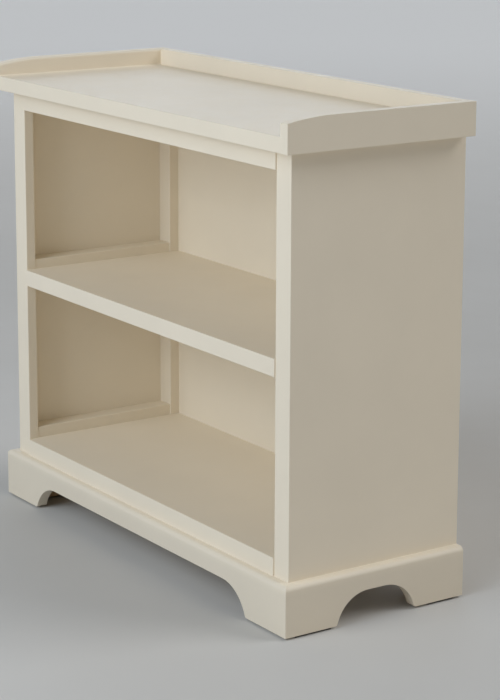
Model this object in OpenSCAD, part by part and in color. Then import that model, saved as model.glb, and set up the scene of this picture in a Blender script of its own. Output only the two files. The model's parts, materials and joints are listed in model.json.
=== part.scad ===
// Low two-bay bookcase in painted timber and board.
// Frame: +X to the right, +Y to the rear, +Z up, origin on the floor under the middle of the whole.
// Lengths are millimetres. Inside the modules, y = 0 is the front face of the front stiles.

/* [Carcass] */
// Width over the outer faces of both sides
carcass_width = 712; // [600:1:1000]
// Depth from the front stiles to the rear edge
carcass_depth = 276; // [260:1:400]
// Height from the top of the plinth to the underside of the top board
carcass_height = 554; // [520:1:900]
// Width of a side seen from the front, outer panel included
side_thickness = 32; // [30:0.5:45]
// Thickness of the thin outer panel of each side
panel_thickness = 3; // [2:0.5:5]
// Depth of a front stile
front_stile_depth = 15; // [14:1:30]
// Depth of a rear stile in front of the back panel
rear_stile_reveal = 16; // [14:1:30]
// How far the side rails sit back from the stiles' inner faces
rail_setback = 1; // [0.5:0.5:3]
// Thickness of the back panel
back_thickness = 6; // [4:0.5:8]
// Depth of the rebate that the back panel lies in
back_rebate = 8; // [8:0.5:12]

/* [Shelves and rails] */
// Thickness of the middle shelf
shelf_thickness = 24; // [18:0.5:30]
// Height of the middle shelf's underside above the plinth
shelf_height = 263; // [180:1:320]
// Thickness of the bottom shelf
bottom_thickness = 24.5; // [18:0.5:30]
// Height of the front and rear top rails
top_rail_height = 27; // [24:0.5:40]
// Depth of the front and rear top rails
top_rail_depth = 20; // [18:1:30]
// How far shelf edges and top rail stand proud of the stiles
front_proud = 1.8; // [0.2:0.1:3]
// Height of a middle side rail, from the shelf's underside
middle_rail_height = 38; // [34:1:60]
// Height of a bottom side rail, from the top of the plinth
bottom_rail_height = 41; // [34:1:60]

/* [Top] */
// Thickness of the top board
top_thickness = 21; // [20:0.5:30]
// Overhang of the top at the front and at both sides
top_overhang = 21; // [16:1:40]
// How far the top stops short of the rear edge
top_rear_inset = 2; // [0:0.5:6]
// Height of the gallery boards above the top surface
gallery_rise = 24; // [16:1:50]
// Thickness of the side gallery boards
side_gallery_thickness = 16; // [14:1:22]
// Thickness of the back gallery board
back_gallery_thickness = 14; // [12:1:22]
// Radius of the long curve that lowers each side gallery to the front
gallery_curve_radius = 385; // [250:5:800]
// Length of that curve, measured from the front of the top
gallery_curve_length = 71; // [40:1:90]
// Chamfer along the top board's rear upper edge, in front of the back gallery
top_chamfer = 1.2; // [0.5:0.1:3]

/* [Plinth] */
// Height of the plinth boards
plinth_height = 68; // [60:1:120]
// How far the plinth stands out from the carcass
plinth_projection = 14; // [10:1:14]
// Thickness of the plinth boards
plinth_thickness = 16; // [16:1:24]
// Radius of the rounded top edge of the plinth
plinth_edge_radius = 7; // [3:0.5:12]
// Height of the front cut-out
front_cutout_height = 38; // [25:1:40]
// Height of the side cut-outs
side_cutout_height = 40; // [25:1:40]
// Width of one front foot
front_foot_width = 91; // [85:1:130]
// Radius of the front cut-out's curved ends
front_cutout_radius = 57; // [40:1:80]
// Width of one side foot
side_foot_width = 82; // [76:1:90]
// Radius of the side cut-outs' curved ends
side_cutout_radius = 50; // [40:1:60]
// Radius of the lower corners of the feet, beside the cut-outs
foot_corner_radius = 4; // [2:0.5:6]
// Thickness of the pads under the feet
pad_thickness = 3; // [2:0.5:8]

/* [Fasteners] */
// Diameter of the frame and shelf dowels
dowel_diameter = 8; // [6:1:8]
// Length of the frame and shelf dowels
dowel_length = 30; // [20:1:30]
// Diameter of the small dowels in the top
small_dowel_diameter = 6; // [5:1:8]
// Shank diameter of the screws in the top and the plinth
screw_diameter = 4; // [3:0.5:4.5]
// Shank diameter of the back panel's screws
small_screw_diameter = 3.5; // [3:0.5:4]

/* [Hidden] */
$fn = 48;
paint = [0.86, 0.83, 0.75];
beech = [0.80, 0.66, 0.46];
steel = [0.75, 0.74, 0.68];
black = [0.12, 0.12, 0.12];
cut = 1;                                   // how far a cutting shape runs past a face

// Heights above the floor
plinth_z = pad_thickness;
base_z = plinth_z + plinth_height;
top_z = base_z + carcass_height;
slab_z = top_z + top_thickness;
gallery_z = slab_z + gallery_rise;
shelf_z = base_z + shelf_height;

// Half widths, from the middle outwards
outer_x = carcass_width / 2;
panel_x = outer_x - panel_thickness;
stile_x = outer_x - side_thickness;
rail_x = stile_x + rail_setback;
top_x = outer_x + top_overhang;
slab_x = top_x - side_gallery_thickness;
plinth_x = outer_x + plinth_projection;
board_x = plinth_x - plinth_thickness;

// Depths behind the front face of the front stiles
back_y = carcass_depth - back_rebate;
rear_stile_y = back_y - rear_stile_reveal;
top_rear_y = carcass_depth - top_rear_inset;
slab_y = top_rear_y - back_gallery_thickness;
board_y = plinth_thickness - plinth_projection;
middle_y = (carcass_depth - top_overhang) / 2;

// Blocks and bearers inside the plinth, and the pads under its feet
block_width = 45;
block_x = board_x - block_width;
front_block_end = 60;
rear_block_depth = 57;
rear_block_start = carcass_depth - rear_block_depth;
bearer_height = 24;
bearer_width = 22;
bearer_z = base_z - bearer_height;
rear_bearer_end = carcass_depth - 2;
pad_inset = 3;
pad_width = 46;
pad_x = [plinth_x - pad_inset - pad_width, plinth_x - pad_inset];
front_pad_y = [board_y + 2, front_block_end];
rear_pad_y = [rear_block_start, rear_block_start + 43];

// Fastener layout
rebate_width = 10;
dowel_x = (rail_x + panel_x) / 2;
frame_dowel_depth = 9;                     // how far a frame dowel enters its stile
frame_dowel_spread = [7, 9, 10];           // half spacing on the top, middle and bottom rails
side_rails = [
    [top_z - top_rail_height, top_z],
    [shelf_z, shelf_z + middle_rail_height],
    [base_z, base_z + bottom_rail_height]];
shelf_centres = [shelf_z + shelf_thickness / 2, base_z + bottom_thickness / 2];
top_rail_dowel_length = 20;
top_rail_dowel_inset = 7;                  // from the top and bottom of the rails
gallery_dowel_length = 26;
gallery_dowel_depth = 10;                  // how far it enters the gallery board
top_screw_length = 40;
back_screw_length = 18;
back_screw_x = stile_x + rebate_width / 2;
back_screw_shares = [0.06, 0.27, 0.5, 0.73, 0.93];
plinth_screw_length = 35;

// ---- helpers ----

// A box between two corners
module box(low, high) {
    translate(low) cube(high - low);
}

// Puts a shape drawn on the right on the named side
module on_side(side) {
    if (side == "left") {
        mirror([1, 0, 0]) children();
    } else {
        children();
    }
}

// Draws a shape on both sides
module both_sides() {
    children();
    mirror([1, 0, 0]) children();
}

// Moves the drawing's zero from the front stiles to the middle of the whole depth
module place() {
    translate([0, -middle_y, 0]) children();
}

// A countersunk wood screw's outer shape, head down, pointing up
module screw_shape(length, shank) {
    head_height = 0.6 * shank;
    point = 1.5 * shank;
    cylinder(h = head_height, d1 = 2 * shank, d2 = shank);
    cylinder(h = length - point, d = shank);
    translate([0, 0, length - point]) cylinder(h = point, d1 = shank, d2 = 0.8);
}

// The same screw with a cross recess in its head
module screw(length, shank) {
    slot = 0.28 * shank;
    depth = 0.3 * shank;
    difference() {
        screw_shape(length, shank);
        for (turn = [0, 90]) {
            rotate([0, 0, turn]) translate([0, 0, depth / 2 - cut / 2])
                cube([1.1 * shank, slot, depth + cut], center = true);
        }
    }
}

// ---- fastener layouts, each drawn once and cut out of the wood with the same shapes ----

module frame_dowels_one_side() {
    for (i = [0 : 2]) {
        middle = (side_rails[i][0] + side_rails[i][1]) / 2;
        for (end = [front_stile_depth - frame_dowel_depth,
                    rear_stile_y + frame_dowel_depth - dowel_length]) {
            for (sign = [-1, 1]) {
                translate([dowel_x, end, middle + sign * frame_dowel_spread[i]])
                    rotate([-90, 0, 0]) cylinder(h = dowel_length, d = dowel_diameter);
            }
        }
    }
}

module shelf_dowels_one_side() {
    for (z = shelf_centres) {
        for (share = [0.25, 0.5, 0.75]) {
            translate([rail_x - dowel_length / 2, share * back_y, z])
                rotate([0, 90, 0]) cylinder(h = dowel_length, d = dowel_diameter);
        }
    }
}

module top_rail_dowels_one_side() {
    for (y = [front_stile_depth / 2, (rear_stile_y + back_y) / 2]) {
        for (z = [top_z - top_rail_dowel_inset,
                  top_z - top_rail_height + top_rail_dowel_inset]) {
            translate([stile_x - top_rail_dowel_length / 2, y, z])
                rotate([0, 90, 0]) cylinder(h = top_rail_dowel_length, d = dowel_diameter);
        }
    }
}

module side_gallery_dowels_one_side() {
    for (share = [0.15, 0.5, 0.85]) {
        translate([slab_x + gallery_dowel_depth - gallery_dowel_length,
                   share * top_rear_y, top_z + top_thickness / 2])
            rotate([0, 90, 0]) cylinder(h = gallery_dowel_length, d = small_dowel_diameter);
    }
}

module back_gallery_dowels() {
    for (share = [-0.84, -0.28, 0.28, 0.84]) {
        translate([share * slab_x, slab_y + gallery_dowel_depth, top_z + top_thickness / 2])
            rotate([90, 0, 0]) cylinder(h = gallery_dowel_length, d = small_dowel_diameter);
    }
}

module top_screw_places() {
    for (y = [top_rail_depth / 2 - front_proud, back_y - top_rail_depth / 2]) {
        for (share = [-0.8, 0, 0.8]) {
            translate([share * stile_x, y, top_z - top_rail_height]) children();
        }
    }
}

module back_screw_places() {
    rear_face = back_y + back_thickness;
    for (sign = [-1, 1]) {
        for (share = back_screw_shares) {
            translate([sign * back_screw_x, rear_face, base_z + share * carcass_height])
                rotate([90, 0, 0]) children();
        }
        for (z = [top_z - top_rail_height / 2, shelf_centres[0], shelf_centres[1]]) {
            translate([sign * 0.4 * stile_x, rear_face, z]) rotate([90, 0, 0]) children();
        }
    }
}

module plinth_screw_places() {
    for (share = [-0.65, 0, 0.65]) {
        translate([share * block_x, board_y + bearer_width / 2, bearer_z]) children();
        translate([share * block_x, rear_bearer_end - bearer_width / 2, bearer_z]) children();
    }
    for (sign = [-1, 1]) {
        for (share = [0.35, 0.65]) {
            translate([sign * (board_x - bearer_width / 2), share * carcass_depth, bearer_z])
                children();
        }
    }
}

// ---- sides ----

module front_stile(side) {
    place() color(paint) on_side(side) difference() {
        box([stile_x, 0, base_z], [panel_x, front_stile_depth, top_z]);
        frame_dowels_one_side();
        top_rail_dowels_one_side();
    }
}

module rear_stile(side) {
    place() color(paint) on_side(side) difference() {
        box([stile_x, rear_stile_y, base_z], [panel_x, carcass_depth, top_z]);
        box([stile_x - cut, back_y, base_z - cut],
            [stile_x + rebate_width, carcass_depth + cut, top_z + cut]);
        frame_dowels_one_side();
        top_rail_dowels_one_side();
        back_screw_places() screw_shape(back_screw_length, small_screw_diameter);
    }
}

// One rail of a side frame: 0 is the top rail, 1 the middle one, 2 the bottom one
module side_rail(side, level) {
    place() color(paint) on_side(side) difference() {
        box([rail_x, front_stile_depth, side_rails[level][0]],
            [panel_x, rear_stile_y, side_rails[level][1]]);
        frame_dowels_one_side();
        shelf_dowels_one_side();
        plinth_screw_places() screw_shape(plinth_screw_length, screw_diameter);
    }
}

module side_panel(side) {
    place() color(paint) on_side(side)
        box([panel_x, 0, base_z], [outer_x, carcass_depth, top_z]);
}

// ---- rails and shelves ----

module front_top_rail() {
    place() color(paint) difference() {
        box([-stile_x, -front_proud, top_z - top_rail_height],
            [stile_x, top_rail_depth - front_proud, top_z]);
        both_sides() top_rail_dowels_one_side();
        top_screw_places() screw_shape(top_screw_length, screw_diameter);
    }
}

module rear_top_rail() {
    place() color(paint) difference() {
        box([-stile_x, back_y - top_rail_depth, top_z - top_rail_height],
            [stile_x, back_y, top_z]);
        both_sides() top_rail_dowels_one_side();
        top_screw_places() screw_shape(top_screw_length, screw_diameter);
        back_screw_places() screw_shape(back_screw_length, small_screw_diameter);
    }
}

// A shelf board that reaches the stiles, and between them the side rails
module shelf_board(z, thickness) {
    box([-stile_x, -front_proud, z], [stile_x, back_y, z + thickness]);
    box([-rail_x, front_stile_depth, z], [rail_x, rear_stile_y, z + thickness]);
}

module middle_shelf() {
    place() color(paint) difference() {
        shelf_board(shelf_z, shelf_thickness);
        both_sides() shelf_dowels_one_side();
        back_screw_places() screw_shape(back_screw_length, small_screw_diameter);
    }
}

module bottom_shelf() {
    place() color(paint) difference() {
        shelf_board(base_z, bottom_thickness);
        both_sides() shelf_dowels_one_side();
        back_screw_places() screw_shape(back_screw_length, small_screw_diameter);
        plinth_screw_places() screw_shape(plinth_screw_length, screw_diameter);
    }
}

module back_panel() {
    place() color(paint) difference() {
        box([-stile_x - rebate_width, back_y, base_z],
            [stile_x + rebate_width, back_y + back_thickness, top_z]);
        back_screw_places() screw_shape(back_screw_length, small_screw_diameter);
    }
}

// ---- top ----

// End view of the top board, its front edge at x = 0
module top_board_outline() {
    length = slab_y + top_overhang;
    polygon([
        [0, 0],
        [length, 0],
        [length, top_thickness - top_chamfer],
        [length - top_chamfer, top_thickness],
        [0, top_thickness]]);
}

module top_board() {
    place() color(paint) difference() {
        translate([-slab_x, -top_overhang, top_z]) rotate([90, 0, 90])
            linear_extrude(2 * slab_x) top_board_outline();
        both_sides() side_gallery_dowels_one_side();
        back_gallery_dowels();
        top_screw_places() screw_shape(top_screw_length, screw_diameter);
    }
}

// Side view of a side gallery: straight at the rear, falling in one long curve to the front
module side_gallery_outline() {
    length = top_rear_y + top_overhang;
    height = gallery_z - top_z;
    intersection() {
        square([length, height]);
        union() {
            translate([gallery_curve_length, height - gallery_curve_radius])
                circle(r = gallery_curve_radius, $fn = 360);
            translate([gallery_curve_length, 0]) square([length, height]);
        }
    }
}

module side_gallery(side) {
    place() color(paint) on_side(side) difference() {
        translate([slab_x, -top_overhang, top_z]) rotate([90, 0, 90])
            linear_extrude(side_gallery_thickness) side_gallery_outline();
        side_gallery_dowels_one_side();
    }
}

module back_gallery() {
    place() color(paint) difference() {
        box([-slab_x, slab_y, top_z], [slab_x, top_rear_y, gallery_z]);
        back_gallery_dowels();
    }
}

// ---- plinth ----

// End view of a plinth board: outer face at x = 0, top outer edge rounded
module plinth_section() {
    difference() {
        square([plinth_thickness, plinth_height]);
        translate([-cut, plinth_height - plinth_edge_radius])
            square([plinth_edge_radius + cut, plinth_edge_radius + cut]);
    }
    translate([plinth_edge_radius, plinth_height - plinth_edge_radius])
        circle(r = plinth_edge_radius);
}

// Flat-topped cut-out with curved ends and eased foot corners, centred on x = 0
module cutout_outline(half_width, height, radius) {
    centre_y = height - radius;
    centre_x = half_width - sqrt(radius * radius - centre_y * centre_y);
    ease_x = centre_x + sqrt(pow(radius + foot_corner_radius, 2)
                             - pow(foot_corner_radius - centre_y, 2));
    touch = radius / (radius + foot_corner_radius);
    touch_point = [centre_x, centre_y]
        + touch * [ease_x - centre_x, foot_corner_radius - centre_y];
    intersection() {
        union() {
            for (sign = [-1, 1]) {
                translate([sign * centre_x, centre_y]) circle(r = radius, $fn = 120);
            }
            translate([-centre_x, -cut]) square([2 * centre_x, height + cut]);
        }
        translate([-half_width - cut, -cut])
            square([2 * (half_width + cut), height + 2 * cut]);
    }
    for (sign = [-1, 1]) {
        scale([sign, 1]) difference() {
            polygon([touch_point, [centre_x, -cut], [ease_x, -cut],
                     [ease_x, foot_corner_radius]]);
            translate([ease_x, foot_corner_radius]) circle(r = foot_corner_radius);
        }
    }
}

// Plan of a board mitred at the right end, outer face along y = 0
module mitre_plan(length) {
    polygon([[0, 0], [length, 0], [length - plinth_thickness, plinth_thickness],
             [0, plinth_thickness]]);
}

module plinth_front() {
    place() color(paint) difference() {
        intersection() {
            translate([-plinth_x, -plinth_projection, plinth_z]) rotate([90, 0, 90])
                linear_extrude(2 * plinth_x) plinth_section();
            both_sides() translate([0, -plinth_projection, 0])
                linear_extrude(base_z) mitre_plan(plinth_x);
        }
        translate([0, board_y + cut, plinth_z]) rotate([90, 0, 0])
            linear_extrude(plinth_thickness + 2 * cut)
                cutout_outline(plinth_x - front_foot_width, front_cutout_height,
                               front_cutout_radius);
    }
}

module plinth_side(side) {
    length = carcass_depth + plinth_projection;
    centre_y = carcass_depth - length / 2;
    place() color(paint) on_side(side) difference() {
        intersection() {
            translate([plinth_x, -plinth_projection, plinth_z])
                rotate([90, 0, 180]) linear_extrude(length) plinth_section();
            translate([plinth_x, carcass_depth, 0]) rotate([0, 0, -90]) mirror([0, 1, 0])
                linear_extrude(base_z) mitre_plan(length);
        }
        translate([board_x - cut, centre_y, plinth_z]) rotate([90, 0, 90])
            linear_extrude(plinth_thickness + 2 * cut)
                cutout_outline(length / 2 - side_foot_width, side_cutout_height,
                               side_cutout_radius);
    }
}

module front_block(side) {
    place() color(beech) on_side(side)
        box([block_x, board_y, plinth_z], [board_x, front_block_end, base_z]);
}

module rear_block(side) {
    place() color(beech) on_side(side)
        box([block_x, rear_block_start, plinth_z], [board_x, carcass_depth, base_z]);
}

module front_bearer() {
    place() color(beech) difference() {
        box([-block_x, board_y, bearer_z], [block_x, board_y + bearer_width, base_z]);
        plinth_screw_places() screw_shape(plinth_screw_length, screw_diameter);
    }
}

module rear_bearer() {
    place() color(beech) difference() {
        box([-block_x, rear_bearer_end - bearer_width, bearer_z],
            [block_x, rear_bearer_end, base_z]);
        plinth_screw_places() screw_shape(plinth_screw_length, screw_diameter);
    }
}

module side_bearer(side) {
    place() color(beech) on_side(side) difference() {
        box([board_x - bearer_width, front_block_end, bearer_z],
            [board_x, rear_block_start, base_z]);
        plinth_screw_places() screw_shape(plinth_screw_length, screw_diameter);
    }
}

// The pad that covers one depth range under a foot
module foot_pad(side, span) {
    place() color(black) on_side(side)
        box([pad_x[0], span[0], 0], [pad_x[1], span[1], pad_thickness]);
}

// ---- fasteners ----

module frame_dowels() {
    place() color(beech) both_sides() frame_dowels_one_side();
}

module shelf_dowels() {
    place() color(beech) both_sides() shelf_dowels_one_side();
}

module top_rail_dowels() {
    place() color(beech) both_sides() top_rail_dowels_one_side();
}

module gallery_dowels() {
    place() color(beech) {
        both_sides() side_gallery_dowels_one_side();
        back_gallery_dowels();
    }
}

module top_screws() {
    place() color(steel) top_screw_places() screw(top_screw_length, screw_diameter);
}

module back_screws() {
    place() color(steel) back_screw_places() screw(back_screw_length, small_screw_diameter);
}

module plinth_screws() {
    place() color(steel) plinth_screw_places() screw(plinth_screw_length, screw_diameter);
}

front_stile("left");  // front_stile_left
front_stile("right");  // front_stile_right
rear_stile("left");  // rear_stile_left
rear_stile("right");  // rear_stile_right
side_rail("left", 0);  // side_top_rail_left
side_rail("right", 0);  // side_top_rail_right
side_rail("left", 1);  // side_middle_rail_left
side_rail("right", 1);  // side_middle_rail_right
side_rail("left", 2);  // side_bottom_rail_left
side_rail("right", 2);  // side_bottom_rail_right
side_panel("left");  // side_panel_left
side_panel("right");  // side_panel_right
front_top_rail();
rear_top_rail();
middle_shelf();
bottom_shelf();
back_panel();
top_board();
side_gallery("left");  // side_gallery_left
side_gallery("right");  // side_gallery_right
back_gallery();
plinth_front();
plinth_side("left");  // plinth_side_left
plinth_side("right");  // plinth_side_right
front_block("left");  // front_block_left
front_block("right");  // front_block_right
rear_block("left");  // rear_block_left
rear_block("right");  // rear_block_right
front_bearer();
rear_bearer();
side_bearer("left");  // side_bearer_left
side_bearer("right");  // side_bearer_right
foot_pad("left", front_pad_y);  // front_foot_pad_left
foot_pad("right", front_pad_y);  // front_foot_pad_right
foot_pad("left", rear_pad_y);  // rear_foot_pad_left
foot_pad("right", rear_pad_y);  // rear_foot_pad_right
frame_dowels();
shelf_dowels();
top_rail_dowels();
gallery_dowels();
top_screws();
back_screws();
plinth_screws();
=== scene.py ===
"""Low painted bookcase: the finish of its boards, its paint, the light and the camera.

Every board is a CAD node. A board whose arrises show is replaced by an eased copy of itself:
the same solid with its exposed edges rounded, as a sprayed board has. Lengths are in metres.
"""
import json
import math

import bmesh
import bpy
from mathutils import Matrix, Vector
from mathutils.bvhtree import BVHTree


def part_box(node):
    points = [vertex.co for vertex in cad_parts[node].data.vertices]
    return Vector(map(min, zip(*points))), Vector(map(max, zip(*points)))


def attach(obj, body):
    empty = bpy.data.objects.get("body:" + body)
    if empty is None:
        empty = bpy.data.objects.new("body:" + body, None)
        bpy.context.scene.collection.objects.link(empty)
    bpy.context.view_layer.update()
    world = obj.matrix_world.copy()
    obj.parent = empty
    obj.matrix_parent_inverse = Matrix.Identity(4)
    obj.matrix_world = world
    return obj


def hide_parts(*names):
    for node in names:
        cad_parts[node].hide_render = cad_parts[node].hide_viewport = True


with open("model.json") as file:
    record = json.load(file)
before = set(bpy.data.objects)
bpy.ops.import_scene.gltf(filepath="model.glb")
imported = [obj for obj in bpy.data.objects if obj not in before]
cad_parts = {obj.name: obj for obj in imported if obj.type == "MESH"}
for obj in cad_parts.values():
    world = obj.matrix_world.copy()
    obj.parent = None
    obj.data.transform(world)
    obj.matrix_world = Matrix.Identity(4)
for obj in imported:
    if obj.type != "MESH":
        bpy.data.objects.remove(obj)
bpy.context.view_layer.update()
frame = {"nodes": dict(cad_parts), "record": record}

MM = 0.001
BODY = "root"
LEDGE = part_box("plinth_front")[1][2]      # the height of the plinth's top

# ---- camera ----

# Solved from the straight edges of the bookcase in the photo, at the size of the CAD model.
CAMERA_PLACE = Vector((2.5375, -1.6761, 1.0414))
CAMERA_AZIMUTH = 55.79        # degrees that the view turns left of +Y
CAMERA_DROP = 11.86           # degrees that it looks down
CAMERA_ROLL = 0.19
CAMERA_LENS = 113.98
CAMERA_SHIFT = (0.0046, -0.1168)
SENSOR = 36                   # mm, along the picture's taller side
VIEW_END = 200                # how far the camera sees


def add_camera():
    data = bpy.data.cameras.new("camera")
    data.sensor_fit = "VERTICAL"
    data.sensor_height = SENSOR
    data.lens = CAMERA_LENS
    data.shift_x, data.shift_y = CAMERA_SHIFT
    data.clip_end = VIEW_END
    camera = bpy.data.objects.new("camera", data)
    bpy.context.scene.collection.objects.link(camera)
    turn = Matrix.Rotation(math.radians(CAMERA_AZIMUTH), 4, "Z")
    tilt = Matrix.Rotation(math.radians(90 - CAMERA_DROP), 4, "X")
    roll = Matrix.Rotation(math.radians(CAMERA_ROLL), 4, "Z")
    camera.matrix_world = Matrix.Translation(CAMERA_PLACE) @ turn @ tilt @ roll
    bpy.context.scene.camera = camera


# ---- materials ----

CREAM = (0.91, 0.805, 0.64)
# The plinth's base colour is multiplied by this below its ledge: painted shade, darker towards the
# floor where less light falls. The plinth's base colour is multiplied by this, to bring its tone
# nearer the photo's. It stands for no wear or dirt, since none is seen there, and 1 gives the
# plinth the same paint as the rest.
PLINTH_PAINTED_SHADE = 0.91
# the plinth's painted shade is full below the first height and gone above the second
PAINTED_SHADE_FULL_UP_TO = LEDGE - 15 * MM
PAINTED_SHADE_GONE_FROM = LEDGE + 1 * MM

NOISE_MIDDLE = (0.3, 0.7)     # where nearly all of a noise's values lie
FLOOR_NEAR = ((0.61, 0.595, 0.565), (0.65, 0.635, 0.605))
FLOOR_FAR = (0.93, 0.925, 0.91)
FLOOR_FADE = (1.2, 7.0)       # metres from the bookcase over which near turns to far


def new_material(name):
    """A material with its shader, and short ways to add and join nodes."""
    material = bpy.data.materials.new(name)
    material.use_nodes = True
    tree = material.node_tree
    shader = tree.nodes["Principled BSDF"]

    def add(kind, **values):
        node = tree.nodes.new(kind)
        for key, value in values.items():
            if key in node.inputs:
                node.inputs[key].default_value = value
            else:
                setattr(node, key.lower(), value)
        return node

    return material, shader, add, tree.links.new


def noise(add, link, position, scale, detail=3.0, roughness=0.5):
    node = add("ShaderNodeTexNoise", Scale=scale, Detail=detail, Roughness=roughness)
    link(position, node.inputs["Vector"])
    return node.outputs["Fac"]


def spread(add, link, value, low, high):
    """Maps a noise's middle range onto low to high."""
    node = add("ShaderNodeMapRange")
    node.inputs["From Min"].default_value, node.inputs["From Max"].default_value = NOISE_MIDDLE
    node.inputs["To Min"].default_value = low
    node.inputs["To Max"].default_value = high
    link(value, node.inputs["Value"])
    return node.outputs["Result"]


def tint(add, link, value, dark, light):
    """A colour between dark and light, by value."""
    node = add("ShaderNodeMix", data_type="RGBA")
    node.inputs["A"].default_value = (*dark, 1)
    node.inputs["B"].default_value = (*light, 1)
    link(value, node.inputs["Factor"])
    return node.outputs["Result"]


def plinth_painted_shade(add, link, position, colour):
    """The colour, darkened below the plinth's ledge by the plinth's shade factor: painted shade,
    darker towards the floor where less light falls; not wear.
    """
    parts = add("ShaderNodeSeparateXYZ")
    link(position, parts.inputs["Vector"])
    low = add("ShaderNodeMapRange", interpolation_type="SMOOTHSTEP")
    low.inputs["From Min"].default_value = PAINTED_SHADE_FULL_UP_TO
    low.inputs["From Max"].default_value = PAINTED_SHADE_GONE_FROM
    low.inputs["To Min"].default_value = PLINTH_PAINTED_SHADE
    low.inputs["To Max"].default_value = 1.0
    link(parts.outputs["Z"], low.inputs["Value"])
    scale = add("ShaderNodeVectorMath", operation="SCALE")
    link(colour, scale.inputs[0])
    link(low.outputs["Result"], scale.inputs["Scale"])
    return scale.outputs["Vector"]


def bump(add, link, height, strength, distance):
    node = add("ShaderNodeBump", Strength=strength, Distance=distance)
    link(height, node.inputs["Height"])
    return node.outputs["Normal"]


def paint_material(name, colour, spray):
    """Satin cream paint: a faint cloudiness, uneven sheen and the fine grain of sprayed paint."""
    material, shader, add, link = new_material(name)
    position = add("ShaderNodeTexCoord").outputs["Object"]
    cloud = spread(add, link, noise(add, link, position, 7.0, detail=4.0), 0.0, 1.0)
    dark = [0.972 * c for c in colour]
    light = [min(1.0, 1.012 * c) for c in colour]
    # painted shade: the plinth below its ledge is darkened towards the floor
    shaded_colour = plinth_painted_shade(add, link, position, tint(add, link, cloud, dark, light))
    link(shaded_colour, shader.inputs["Base Color"])
    sheen = spread(add, link, noise(add, link, position, 55.0), 0.46, 0.56)
    link(sheen, shader.inputs["Roughness"])
    grain = noise(add, link, position, 900.0, detail=2.0)
    link(bump(add, link, grain, spray, 0.0004), shader.inputs["Normal"])
    shader.inputs["IOR"].default_value = 1.48
    return material


def wood_material(name, pale, deep, along, stretch):
    """Bare planed timber, its growth rings drawn out along one axis."""
    material, shader, add, link = new_material(name)
    position = add("ShaderNodeTexCoord").outputs["Object"]
    scale = add("ShaderNodeMapping")
    sizes = [1.0, 1.0, 1.0]
    sizes["XYZ".index(along)] = stretch
    scale.inputs["Scale"].default_value = sizes
    link(position, scale.inputs["Vector"])
    drawn = scale.outputs["Vector"]
    rings = add("ShaderNodeTexWave", Scale=34.0, Distortion=5.0, Detail=2.0)
    rings.inputs["Detail Scale"].default_value = 1.6
    link(drawn, rings.inputs["Vector"])
    link(tint(add, link, rings.outputs["Fac"], deep, pale), shader.inputs["Base Color"])
    fibres = noise(add, link, drawn, 520.0, detail=5.0)
    link(spread(add, link, fibres, 0.62, 0.8), shader.inputs["Roughness"])
    link(bump(add, link, fibres, 0.35, 0.0003), shader.inputs["Normal"])
    return material


def steel_material(name):
    """Zinc plate with a faint yellow cast and fine turning marks."""
    material, shader, add, link = new_material(name)
    position = add("ShaderNodeTexCoord").outputs["Object"]
    patch = spread(add, link, noise(add, link, position, 420.0), 0.0, 1.0)
    colour = tint(add, link, patch, (0.52, 0.48, 0.36), (0.70, 0.67, 0.56))
    link(colour, shader.inputs["Base Color"])
    turning = noise(add, link, position, 1500.0)
    link(spread(add, link, turning, 0.25, 0.42), shader.inputs["Roughness"])
    shader.inputs["Metallic"].default_value = 1.0
    return material


def pad_material(name):
    """Dark rubbery felt: matt, with a short speckled nap."""
    material, shader, add, link = new_material(name)
    position = add("ShaderNodeTexCoord").outputs["Object"]
    nap = noise(add, link, position, 1400.0, detail=4.0)
    speckle = spread(add, link, nap, 0.0, 1.0)
    colour = tint(add, link, speckle, (0.018, 0.017, 0.016), (0.06, 0.056, 0.052))
    link(colour, shader.inputs["Base Color"])
    link(bump(add, link, nap, 0.8, 0.0005), shader.inputs["Normal"])
    shader.inputs["Roughness"].default_value = 0.9
    return material


def floor_material(name):
    """Pale matt studio floor, faintly cloudy and lighter towards the far background."""
    material, shader, add, link = new_material(name)
    position = add("ShaderNodeTexCoord").outputs["Object"]
    distance = add("ShaderNodeVectorMath", operation="LENGTH")
    link(position, distance.inputs[0])
    away = add("ShaderNodeMapRange", interpolation_type="SMOOTHSTEP")
    away.inputs["From Min"].default_value, away.inputs["From Max"].default_value = FLOOR_FADE
    link(distance.outputs["Value"], away.inputs["Value"])
    cloud = spread(add, link, noise(add, link, position, 1.3, detail=5.0), 0.0, 1.0)
    whole = add("ShaderNodeMix", data_type="RGBA")
    link(tint(add, link, cloud, *FLOOR_NEAR), whole.inputs["A"])
    whole.inputs["B"].default_value = (*FLOOR_FAR, 1)
    link(away.outputs["Result"], whole.inputs["Factor"])
    link(whole.outputs["Result"], shader.inputs["Base Color"])
    dullness = noise(add, link, position, 18.0)
    link(spread(add, link, dullness, 0.75, 0.85), shader.inputs["Roughness"])
    return material


# ---- easing the arrises of the boards ----

EASED = {                     # the radius of each finish's eased edges
    "painted_wood": 1.0 * MM,
    "painted_board": 0.8 * MM,
    "bare_wood": 1.0 * MM,
    "foot_pad": 0.6 * MM}
GALLERY_ROUNDED = 4.0 * MM
PLINTH_CORNER = 1.0 * MM

PROBE = 0.3 * MM              # how far beside an edge the neighbours are looked for
SAMPLES = 9                   # places along an edge where they are looked for
OPEN_SHARE = 0.3              # the share of those places that has to be in free air
RAY = Vector((0.3713, 0.6127, 0.6977)).normalized()     # askew, so that it rarely meets an edge
STEP_ON = 1e-6                # how far past a hit a ray starts again, and how near points merge
CUT_REACH = 1e-7              # how near a cut a point has to be to count as on it
LEAST_ARRIS = math.radians(35)  # the least turn between two faces that makes an arris
SHARP = math.radians(40)        # an edge that turns more than this is shaded as sharp
FLAT = math.radians(0.5)        # faces that turn less than this are joined


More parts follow.
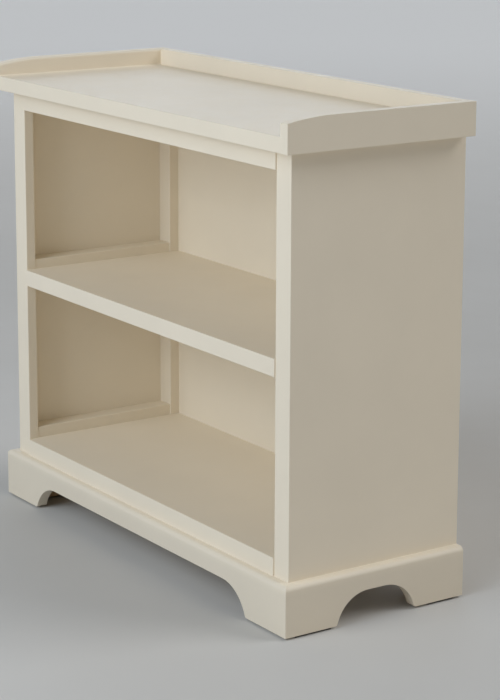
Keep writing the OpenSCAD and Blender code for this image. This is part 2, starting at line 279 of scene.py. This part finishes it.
class Solids:
    """Says whether a point lies inside any of the CAD nodes."""

    def __init__(self, nodes):
        self.solids = []
        for node in nodes.values():
            points = [v.co.copy() for v in node.data.vertices]
            faces = [tuple(p.vertices) for p in node.data.polygons]
            low = Vector([min(p[i] for p in points) for i in range(3)])
            high = Vector([max(p[i] for p in points) for i in range(3)])
            self.solids.append((low, high, BVHTree.FromPolygons(points, faces)))

    def holds(self, point):
        for low, high, tree in self.solids:
            inside_box = all(low[i] < point[i] < high[i] for i in range(3))
            if inside_box and self.crossings(tree, point) % 2:
                return True
        return False

    @staticmethod
    def crossings(tree, start):
        count = 0
        while True:
            hit = tree.ray_cast(start, RAY)[0]
            if hit is None:
                return count
            count += 1
            start = hit + RAY * STEP_ON


def is_open(edge, solids):
    """True for an outward edge with free air all round it for a fair part of its length."""
    if len(edge.link_faces) != 2 or not edge.is_convex:
        return False
    if edge.calc_face_angle() < LEAST_ARRIS:
        return False
    first, second = (f.normal for f in edge.link_faces)
    start, end = (v.co for v in edge.verts)
    beside = (first + second, first - second, second - first)
    free = 0
    for i in range(SAMPLES):
        point = start.lerp(end, (i + 0.5) / SAMPLES)
        if not any(solids.holds(point + way.normalized() * PROBE) for way in beside):
            free += 1
    return free >= OPEN_SHARE * SAMPLES


def mesh_of(node):
    """The node's mesh with its triangles joined back into flat faces."""
    work = bmesh.new()
    work.from_mesh(frame["nodes"][node].data)
    bmesh.ops.remove_doubles(work, verts=work.verts, dist=STEP_ON)
    bmesh.ops.dissolve_limit(work, angle_limit=FLAT, verts=work.verts, edges=work.edges)
    bmesh.ops.recalc_face_normals(work, faces=work.faces)
    return work


def ease(work, edges, radius, segments=3):
    if edges:
        bmesh.ops.bevel(work, geom=edges, offset=radius, offset_type="OFFSET",
                        segments=segments, profile=0.5, affect="EDGES", clamp_overlap=True)


def add_piece(name, work, material):
    """Makes an object from a finished mesh: smooth over its eased edges, flat over its faces."""
    for face in work.faces:
        face.smooth = True
    for edge in work.edges:
        edge.smooth = len(edge.link_faces) == 2 and edge.calc_face_angle() < SHARP
    mesh = bpy.data.meshes.new(name)
    work.to_mesh(mesh)
    work.free()
    mesh.materials.append(material)
    piece = bpy.data.objects.new(name, mesh)
    bpy.context.scene.collection.objects.link(piece)
    flat = piece.modifiers.new("flat_faces", "WEIGHTED_NORMAL")
    flat.keep_sharp = True
    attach(piece, BODY)
    return piece


def geometry_of(work):
    return work.verts[:] + work.edges[:] + work.faces[:]


def round_corner(work, corner, side, radius, steps=4):
    """Rounds an upright front corner by flat cuts; side is 1 at the right and -1 at the left."""
    centre = Vector((corner[0] - side * radius, corner[1] + radius, 0))
    for i in range(1, steps):
        turn = math.radians(90 * i / steps)
        way = Vector((side * math.sin(turn), -math.cos(turn), 0))
        bmesh.ops.bisect_plane(work, geom=geometry_of(work), plane_co=centre + way * radius,
                               plane_no=way, dist=CUT_REACH, clear_outer=True)
        bmesh.ops.holes_fill(work, edges=[e for e in work.edges if e.is_boundary], sides=0)


def open_edges(work, solids):
    return [e for e in work.edges if is_open(e, solids)]


def round_gallery_top(work, solids):
    """Splits a side gallery where it meets its neighbours and rounds its inner top edge."""
    slab_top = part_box("top_board")[1][2]
    rear_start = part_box("back_gallery")[0][1]
    for place, way in (((0, 0, slab_top), (0, 0, 1)), ((0, rear_start, 0), (0, 1, 0))):
        bmesh.ops.bisect_plane(work, geom=geometry_of(work), plane_co=place, plane_no=way,
                               dist=CUT_REACH)
    middle = sum(v.co.x for v in work.verts) / len(work.verts)
    inwards = -math.copysign(1, middle)
    inner = []
    for edge in open_edges(work, solids):
        normals = [f.normal for f in edge.link_faces]
        if max(n.z for n in normals) > 0.9 and max(inwards * n.x for n in normals) > 0.9:
            inner.append(edge)
    ease(work, inner, GALLERY_ROUNDED, segments=5)


def is_gallery_foot(node, edge):
    """True for the upright inner edge of a side gallery's front end, down to the slab."""
    if not node.startswith("side_gallery"):
        return False
    upright = all(abs(f.normal.z) < 0.1 for f in edge.link_faces)
    return upright and min(abs(v.co.x) for v in edge.verts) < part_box("top_board")[1][0] + PROBE


def finish_board(node, solids, radius, material):
    """Replaces a CAD node by itself with its open edges eased."""
    work = mesh_of(node)
    if node.startswith("side_gallery"):
        round_gallery_top(work, solids)
    edges = [e for e in open_edges(work, solids) if not is_gallery_foot(node, e)]
    ease(work, edges, radius)
    if node.startswith("plinth"):
        low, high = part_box("plinth_front")
        round_corner(work, (high[0], low[1]), 1, PLINTH_CORNER)
        round_corner(work, (low[0], low[1]), -1, PLINTH_CORNER)
    piece = add_piece(node + "_finished", work, material)
    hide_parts(node)


def dress(node, material):
    """Gives a CAD node that stays as it is its material."""
    mesh = frame["nodes"][node].data
    mesh.materials.clear()
    mesh.materials.append(material)


# ---- paint gathered in the inner corners ----

BEAD = 0.7 * MM
GALLERY_BEAD = 1.5 * MM


def add_bead(work, start, end, first, second, size, steps=4):
    """A hollow-faced strip along a corner; first and second point along its two faces."""
    start, end, first, second = map(Vector, (start, end, first, second))
    outline = [Vector((0, 0, 0))]
    for i in range(steps + 1):
        turn = math.radians(90 * i / steps)
        along = (1 - math.sin(turn)) * first + (1 - math.cos(turn)) * second
        outline.append(size * along)
    ends = [[work.verts.new(place + point) for point in outline] for place in (start, end)]
    count = len(outline)
    for i in range(count):
        j = (i + 1) % count
        work.faces.new((ends[0][i], ends[0][j], ends[1][j], ends[1][i]))
    work.faces.new(reversed(ends[0]))
    work.faces.new(ends[1])


def add_paint_beads(material):
    shelf_low, shelf_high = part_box("bottom_shelf")
    slab_low, slab_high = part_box("top_board")
    gallery_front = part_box("back_gallery")[0][1]
    work = bmesh.new()
    ahead, up = (0, -1, 0), (0, 0, 1)
    add_bead(work, (shelf_low[0], shelf_low[1], LEDGE), (shelf_high[0], shelf_low[1], LEDGE),
             ahead, up, BEAD)
    for name, side in (("left", -1), ("right", 1)):
        outwards, inwards = (side, 0, 0), (-side, 0, 0)
        stile_low, stile_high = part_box("front_stile_" + name)
        panel_low, panel_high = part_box("side_panel_" + name)
        outer = (panel_low, panel_high)[side > 0][0]
        inner = (stile_high, stile_low)[side > 0][0]
        front, rear = stile_low[1], panel_high[1]
        add_bead(work, (inner, front, LEDGE), (outer, front, LEDGE), ahead, up, BEAD)
        add_bead(work, (outer, front, LEDGE), (outer, rear, LEDGE), outwards, up, BEAD)
        slab_end = (slab_low, slab_high)[side > 0][0]
        add_bead(work, (slab_end, slab_low[1] + EASED["painted_wood"], slab_high[2]),
                 (slab_end, gallery_front, slab_high[2]), inwards, up, GALLERY_BEAD)
    bmesh.ops.recalc_face_normals(work, faces=work.faces)
    add_piece("paint_beads", work, material)


# ---- stage ----

# The lights aren't the photo's: their strengths and colours, and those of the paint and the floor,
# were fitted by solving and then one by one to tones measured in it.
LIGHT_TARGET = Vector((0, 0, 0.4))
LIGHT_SPREAD = math.radians(35)     # how wide a far light looks from the bookcase
DAYLIGHT = (0.79, 0.885, 1.0)
WHITE = (1.0, 1.0, 1.0)
FLOOR_SIZE = 80


def add_floor(material):
    bpy.ops.mesh.primitive_plane_add(size=FLOOR_SIZE, location=(0, 0, 0))
    floor = bpy.context.object
    floor.name = "floor"
    floor.data.materials.append(material)


def add_light(kind, name, colour, strength):
    data = bpy.data.lights.new(name, kind)
    data.color = colour
    data.energy = strength
    light = bpy.data.objects.new(name, data)
    bpy.context.scene.collection.objects.link(light)
    return light


def aim(light, way):
    light.rotation_euler = way.to_track_quat("-Z", "Y").to_euler()


def add_box_light(name, place, size, power, colour):
    """A square soft box near the bookcase, aimed at its middle."""
    light = add_light("AREA", name, colour, power)
    light.data.size = size
    light.location = place
    aim(light, LIGHT_TARGET - Vector(place))


def add_far_light(name, azimuth, elevation, strength, colour):
    """A wide soft light from far off; azimuth 0 is in front of the bookcase, 90 at its left."""
    light = add_light("SUN", name, colour, strength)
    light.data.angle = LIGHT_SPREAD
    turn, rise = math.radians(azimuth), math.radians(elevation)
    level = math.cos(rise)
    aim(light, Vector((math.sin(turn) * level, math.cos(turn) * level, -math.sin(rise))))


def set_world(colour, strength):
    world = bpy.data.worlds.new("studio")
    bpy.context.scene.world = world
    world.use_nodes = True
    background = world.node_tree.nodes["Background"]
    background.inputs["Color"].default_value = (*colour, 1)
    background.inputs["Strength"].default_value = strength


# ---- the scene ----

add_camera()
bpy.context.scene.view_settings.view_transform = "Standard"

paint = paint_material("cream_paint", CREAM, spray=0.10)
board_paint = paint_material("cream_paint_on_board", CREAM, spray=0.06)
timber = wood_material("planed_timber", (0.70, 0.54, 0.34), (0.52, 0.36, 0.19), "X", 0.06)
beech = wood_material("beech_dowel", (0.74, 0.58, 0.40), (0.62, 0.45, 0.28), "Y", 0.1)
MATERIALS = {
    "painted_wood": paint,
    "painted_board": board_paint,
    "bare_wood": timber,
    "dowel_wood": beech,
    "screw_steel": steel_material("zinc_steel"),
    "foot_pad": pad_material("foot_pad")}

solids = Solids(frame["nodes"])
for part in frame["record"]["subparts"]:
    node, slot_name = part["node"], part["material_slot"]
    if slot_name in EASED:
        finish_board(node, solids, EASED[slot_name], MATERIALS[slot_name])
    else:
        dress(node, MATERIALS[slot_name])

add_paint_beads(paint)

add_floor(floor_material("studio_floor"))
set_world(WHITE, 0.2)
add_box_light("key", (0.1, -2.3, 1.15), 1.3, 22.5, DAYLIGHT)
add_far_light("front", -10, 42, 0.62, DAYLIGHT)
add_far_light("back", 216, 42, 0.95, WHITE)
add_far_light("left", 124, 14, 0.48, DAYLIGHT)
